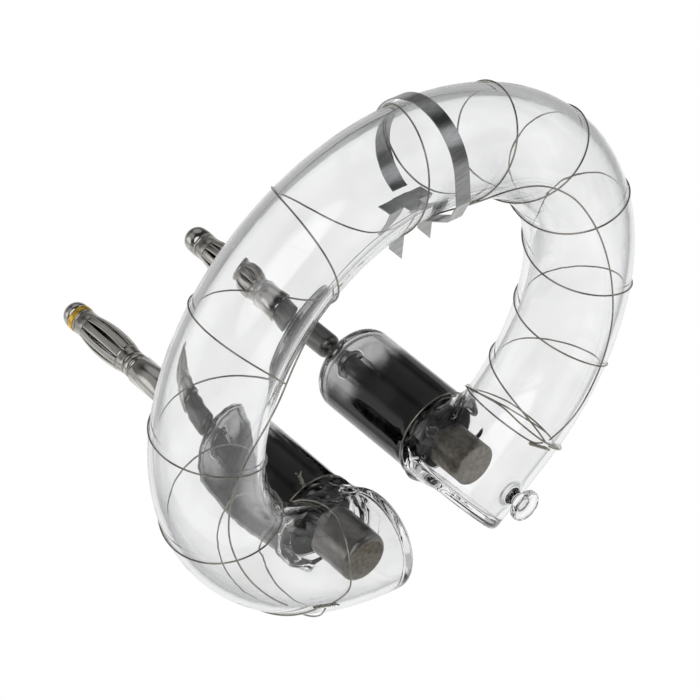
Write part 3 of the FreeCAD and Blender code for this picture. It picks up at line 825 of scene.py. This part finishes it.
def winding():
    stations = [WIND_START]
    for k, rear in enumerate(REAR_CROSSINGS):
        stations.append((rear, 270 + 360 * k))
        if k < len(FRONT_CROSSINGS):
            stations.append((FRONT_CROSSINGS[k], 450 + 360 * k))
    stations.append((WIND_END[0], WIND_END[1] + 360 * (len(REAR_CROSSINGS) - 1)))
    return run_points(stations, WIRE_LIFT, WIRE_LIFT, 40)


def twist(start, end, turns, radius, steps=16):
    """Two ends of wire twisted round each other, from one point to another."""
    axis = (end - start) / np.linalg.norm(end - start)
    across = np.cross(axis, [0.3, 0.5, 0.8])
    across /= np.linalg.norm(across)
    up = np.cross(axis, across)
    runs = []
    for phase in (0.0, math.pi):
        run = []
        for i in range(turns * steps + 1):
            t = i / (turns * steps)
            a = phase + 2 * math.pi * turns * t
            r = radius * (1 + 0.25 * math.sin(5 * t + phase))
            run.append(start + (end - start) * t + (across * math.cos(a) + up * math.sin(a)) * r)
        tail = (across * math.cos(phase + 0.6) + up * math.sin(phase + 0.6)) * 0.25 + axis * 0.35
        run.append(run[-1] + tail)
        runs.append(run)
    return runs


def collars():
    for side, stations in (("left", LEFT_COLLAR), ("right", RIGHT_COLLAR)):
        start, end = (on_tube(angle, turn, 0.35) for angle, turn in KNOTS[side])
        runs = [run_points(stations, *COLLAR_LIFT)] + twist(start, end, 5, WIRE_R * 1.15)
        wire_piece(side + "_collar", runs, [side + "_collar_wire"])


def tie_knot(r):
    """Ends of the left tie: a short twist that stands off the arm and splits into two hooks."""
    a = math.radians(TIE_KNOT_TURN)
    outward = np.array([math.cos(a), 0.0, math.sin(a)])
    foot = np.array([-ARM_X, ARM_TIE_Y, ARM_Z]) + outward * (r + 0.15)
    return twist(foot, foot + outward * 2.3 + np.array([0.0, 0.35, 0.0]), 3, WIRE_R * 1.5)


def arm_ties():
    for side in SIDES:
        r = ARM_R + WIRE_R + 0.07
        run = []
        for k in range(97):
            a = 2 * math.pi * k / 96
            y = ARM_TIE_Y + 0.10 * math.sin(a + 0.7)
            run.append(np.array([SIDES[side] * ARM_X + r * math.cos(a), y, ARM_Z + r * math.sin(a)]))
        runs = [run]
        if side == "left":
            runs += tie_knot(r)
        wire_piece(side + "_tie", runs, [side + "_arm_tie"])


# ---- Scene -----------------------------------------------------------------------------------------------
def studio():
    """Floor lit like a light table, in a room that is grey low down and dark above."""
    low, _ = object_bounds()
    floor_mesh = bpy.data.meshes.new("floor")
    corners = [(3.0 * math.cos(a), 3.0 * math.sin(a), low.z - FLOOR_DROP)
               for a in (2 * math.pi * k / 64 for k in range(64))]
    floor_mesh.from_pydata(corners, [], [list(range(64))])
    floor = bpy.data.objects.new("floor", floor_mesh)
    bpy.context.collection.objects.link(floor)
    material, nodes, links, shader = new_material("pale_floor")
    shader.inputs["Base Color"].default_value = (0.0, 0.0, 0.0, 1.0)
    shader.inputs["Specular IOR Level"].default_value = 0.0
    shader.inputs["Emission Color"].default_value = (1.0, 1.0, 1.0, 1.0)
    place = nodes.new("ShaderNodeTexCoord")
    tone = None
    for centre, reach, brightness in LIT_AREAS:
        away = nodes.new("ShaderNodeVectorMath")
        away.operation = "DISTANCE"
        away.inputs[1].default_value = (*centre, low.z - FLOOR_DROP)
        links.new(place.outputs["Object"], away.inputs[0])
        fade = nodes.new("ShaderNodeMapRange")
        fade.interpolation_type = "SMOOTHSTEP"
        fade.inputs["From Min"].default_value, fade.inputs["From Max"].default_value = reach
        fade.inputs["To Min"].default_value = brightness
        fade.inputs["To Max"].default_value = SURROUND
        links.new(away.outputs["Value"], fade.inputs["Value"])
        brighter = nodes.new("ShaderNodeMath")
        brighter.operation = "MAXIMUM"
        links.new(fade.outputs["Result"], brighter.inputs[0])
        if tone is not None:
            links.new(tone, brighter.inputs[1])
        tone = brighter.outputs["Value"]
    links.new(tone, shader.inputs["Emission Strength"])
    floor_mesh.materials.append(material)
    floor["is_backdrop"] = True

    world = bpy.data.worlds.new("studio")
    bpy.context.scene.world = world
    world.use_nodes = True
    nodes, links = world.node_tree.nodes, world.node_tree.links
    place = nodes.new("ShaderNodeTexCoord")
    apart = nodes.new("ShaderNodeSeparateXYZ")
    links.new(place.outputs["Generated"], apart.inputs["Vector"])
    ramp = ramp_of(
        nodes, links, apart.outputs["Z"],
        [(0.0, (SURROUND,) * 3), (0.22, (SURROUND,) * 3), (0.42, (0.05, 0.05, 0.052)),
         (1.0, (0.03, 0.03, 0.032))],
    )
    colour = ramp.outputs["Color"]
    for toward, narrow, wide, tone in SKY_PANELS:
        aimed = nodes.new("ShaderNodeVectorMath")
        aimed.operation = "DOT_PRODUCT"
        aimed.inputs[1].default_value = Vector(toward).normalized()
        links.new(place.outputs["Generated"], aimed.inputs[0])
        patch = nodes.new("ShaderNodeMapRange")
        patch.interpolation_type = "SMOOTHSTEP"
        patch.inputs["From Min"].default_value = math.cos(math.radians(wide))
        patch.inputs["From Max"].default_value = math.cos(math.radians(narrow))
        links.new(aimed.outputs["Value"], patch.inputs["Value"])
        mix = nodes.new("ShaderNodeMix")
        mix.data_type = "RGBA"
        mix.blend_type = "LIGHTEN"
        mix.inputs["B"].default_value = (*tone, 1.0)
        links.new(patch.outputs["Result"], mix.inputs["Factor"])
        links.new(colour, mix.inputs["A"])
        colour = mix.outputs["Result"]
    links.new(colour, nodes["Background"].inputs["Color"])


def camera():
    a, e = math.radians(CAMERA_AZIMUTH), math.radians(CAMERA_ELEVATION)
    back = Vector((math.sin(a) * math.cos(e), -math.cos(a) * math.cos(e), math.sin(e)))
    level = Vector((math.cos(a), math.sin(a), 0))
    upright = back.cross(level)
    roll = math.radians(CAMERA_ROLL)
    right = level * math.cos(roll) + upright * math.sin(roll)
    up = upright * math.cos(roll) - level * math.sin(roll)
    centre = Vector(to_frame((0, 0, 0)))
    place = centre + back * (CAMERA_DISTANCE * MM)
    aim = centre + (right * CAMERA_AIM[0] + up * CAMERA_AIM[1]) * MM
    toward = (aim - place).normalized()
    right = toward.cross(up).normalized()
    up = right.cross(toward)
    data = bpy.data.cameras.new("camera")
    data.sensor_width = SENSOR
    data.lens = CAMERA_LENS
    data.clip_start, data.clip_end = 0.01, 20.0
    shot = bpy.data.objects.new("camera", data)
    bpy.context.collection.objects.link(shot)
    shot.location = place
    shot.rotation_mode = "QUATERNION"
    basis = Vector(right), Vector(up), Vector(-toward)
    shot.rotation_quaternion = Matrix(basis).transposed().to_quaternion()
    bpy.context.scene.camera = shot


def render_settings():
    scene = bpy.context.scene
    scene.view_settings.view_transform = "Standard"
    scene.cycles.max_bounces = 32
    scene.cycles.transmission_bounces = 28
    scene.cycles.glossy_bounces = 16
    scene.cycles.transparent_max_bounces = 24
    scene.cycles.use_denoising = True


glass_envelope()
for side in SIDES:
    dark_film(side)
    rods(side)
    ferrule(side)
    plug_body(side)
    spring_cage(side)
    tip_cap(side)
electrode("anode", "left", GROUND, 0.8)
electrode("cathode", "right", SINTERED, 0.18)
colour_ring()
wire_piece("trigger_winding", [winding()], ["trigger_wire"])
wire_piece("trigger_link", [run_points(STRAND, STRAND_LIFT, STRAND_LIFT)], ["trigger_strand"])
collars()
arm_ties()
for node in ("trigger_clip_band", "trigger_clip_prongs"):
    clip_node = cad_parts[node]
    clip_node.data.materials.clear()
    clip_node.data.materials.append(STRIP)
studio()
camera()
render_settings()
